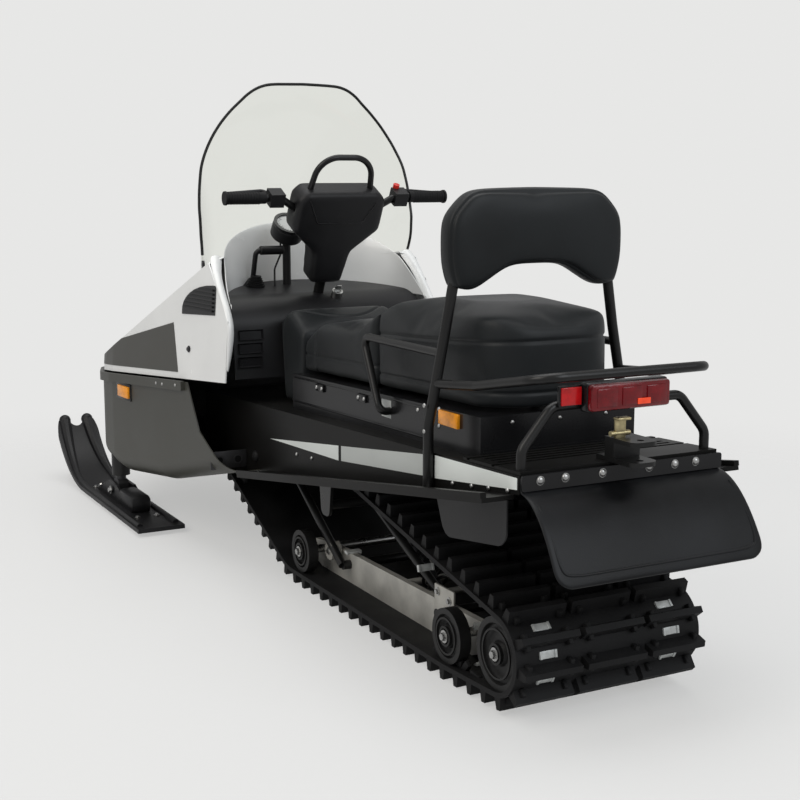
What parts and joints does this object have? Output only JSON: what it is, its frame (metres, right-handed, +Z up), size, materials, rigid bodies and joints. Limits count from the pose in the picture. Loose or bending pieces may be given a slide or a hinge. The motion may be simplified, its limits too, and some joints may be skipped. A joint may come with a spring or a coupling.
{
  "type": "snowmobile",
  "caption": "Utility snowmobile with steered skis, wide track, hinged hood with windshield, two-up seat with backrest, luggage rail and tow hitch.",
  "frame": {"origin": "on the floor under the middle of the object's box", "axes": "+Z up, -Y to the front, +X to the rider's left"},
  "size_m": [1.002, 3.1494, 1.459],
  "materials": {
    "white_body": "gloss",
    "pan_grey": "satin",
    "black_plastic": "grained",
    "black_vinyl": "soft grain",
    "tunnel_black": "satin",
    "tube_black": "gloss",
    "track_rubber": "matte",
    "grip_rubber": "matte",
    "bare_steel": "brushed",
    "alloy": "satin",
    "grey_metal": "satin",
    "clear_shield": "clear",
    "lamp_glass": "clear",
    "red_lens": "gloss",
    "wheel_black": "satin",
    "engine_grey": "cast"
  },
  "bodies": {
    "chassis": {"tunnel": "tunnel_black", "running_boards": "tunnel_black", "side_skirts": "grey_metal", "belly_pan": "pan_grey", "front_bumper": "pan_grey", "front_frame": "tunnel_black", "engine_block": "engine_grey", "strut_tubes": "tube_black", "hinge_base": "tube_black", "console": "black_plastic", "tank_cover": "black_plastic", "gauge_pod": "black_plastic", "gauge_cable": "grip_rubber", "shift_lever": "tube_black", "seat_base": "black_plastic", "storage_box": "black_plastic", "driver_seat": "black_vinyl", "passenger_seat": "black_vinyl", "backrest_frame": "tube_black", "backrest_cushion": "black_vinyl", "grab_handles": "tube_black", "luggage_rail": "tube_black", "rear_deck": "black_plastic", "lamp_hoop": "tube_black", "tail_lamp": "red_lens", "snow_flap": "grip_rubber", "flap_strip": "grey_metal", "tow_hitch": "tube_black", "track": "track_rubber", "slide_rails": "alloy", "front_swing_arm": "grey_metal", "rear_swing_arm": "grey_metal", "arm_hangers": "grey_metal", "shock_absorbers": "bare_steel", "rear_idlers": "wheel_black", "middle_idlers": "wheel_black", "front_idlers": "wheel_black", "wheel_axles": "bare_steel", "drive_sprockets": "wheel_black", "drive_axle": "bare_steel"},
    "hood": {"hood_shell": "white_body", "headlamp": "lamp_glass", "windshield": "clear_shield", "hinge_ears": "tube_black"},
    "steering": {"steering_column": "tube_black", "steering_shroud": "black_plastic", "handlebar": "tube_black", "grips": "grip_rubber", "control_levers": "black_plastic", "bar_hoop": "tube_black"},
    "left_ski": {"ski_left": "black_plastic", "spindle_left": "bare_steel"},
    "right_ski": {"ski_right": "black_plastic", "spindle_right": "bare_steel"}
  },
  "joints": [
    {"name": "hood_hinge", "type": "hinge", "parent": "chassis", "child": "hood", "pos_m": [0, -1.479, 0.47], "axis": [1, 0, 0], "range_deg": [0, 55]},
    {"name": "steering", "type": "hinge", "parent": "chassis", "child": "steering", "pos_m": [0, -0.151, 0.829], "axis": [0, 0.4617, 0.887], "range_deg": [-25, 25]},
    {"name": "left_ski_turn", "type": "hinge", "parent": "chassis", "child": "left_ski", "pos_m": [0.421, -0.955, 0.1], "axis": [0, 0, 1], "range_deg": [-22.5, 22.5]},
    {"name": "right_ski_turn", "type": "hinge", "parent": "chassis", "child": "right_ski", "pos_m": [-0.421, -0.955, 0.1], "axis": [0, 0, 1], "range_deg": [-22.5, 22.5]}
  ],
  "couplings": [
    {"joint": "left_ski_turn", "follows": "steering", "ratio": 0.9},
    {"joint": "right_ski_turn", "follows": "steering", "ratio": 0.9}
  ]
}
